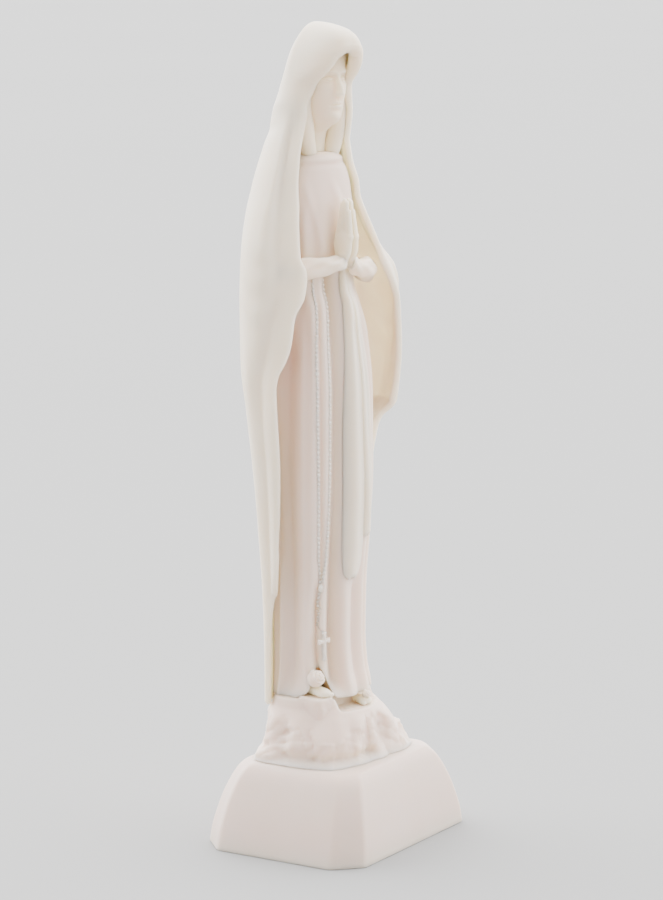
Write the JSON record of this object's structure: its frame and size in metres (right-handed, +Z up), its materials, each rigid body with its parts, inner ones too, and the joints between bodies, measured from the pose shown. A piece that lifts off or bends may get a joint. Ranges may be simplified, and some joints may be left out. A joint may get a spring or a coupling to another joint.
{
  "type": "madonna statue",
  "caption": "Free-standing ivory madonna figurine with praying hands, hooded mantle, sash and rosary, standing on a rock mound and a tapered hollow pedestal.",
  "frame": {"origin": "centre of the underside of the pedestal, on the surface it stands on", "axes": "+Z up along the figure, the pedestal's long front face looks along -Y, +X is the figure's left"},
  "size_m": [0.06, 0.045, 0.1995],
  "materials": {
    "ivory_resin": "satin, slightly translucent and waxy",
    "cast_iron": "rough cast",
    "steel": "plain",
    "felt": "felt"
  },
  "bodies": {
    "root": {"pedestal_shell": "ivory_resin", "base_closing_plate": "ivory_resin", "felt_pad": "felt", "ballast_weight": "cast_iron", "fixing_washer": "steel", "fixing_screw": "steel", "rock_mound": "ivory_resin", "gown": "ivory_resin", "mantle": "ivory_resin", "head": "ivory_resin", "hand_right": "ivory_resin", "hand_left": "ivory_resin", "sleeve_right": "ivory_resin", "sleeve_left": "ivory_resin", "sash": "ivory_resin", "rosary": "ivory_resin", "rosary_cross": "ivory_resin", "foot_right": "ivory_resin", "foot_left": "ivory_resin", "rose_right": "ivory_resin", "rose_left": "ivory_resin", "neck_dowel": "steel", "dowel_right": "steel", "dowel_left": "steel"}
  },
  "joints": []
}
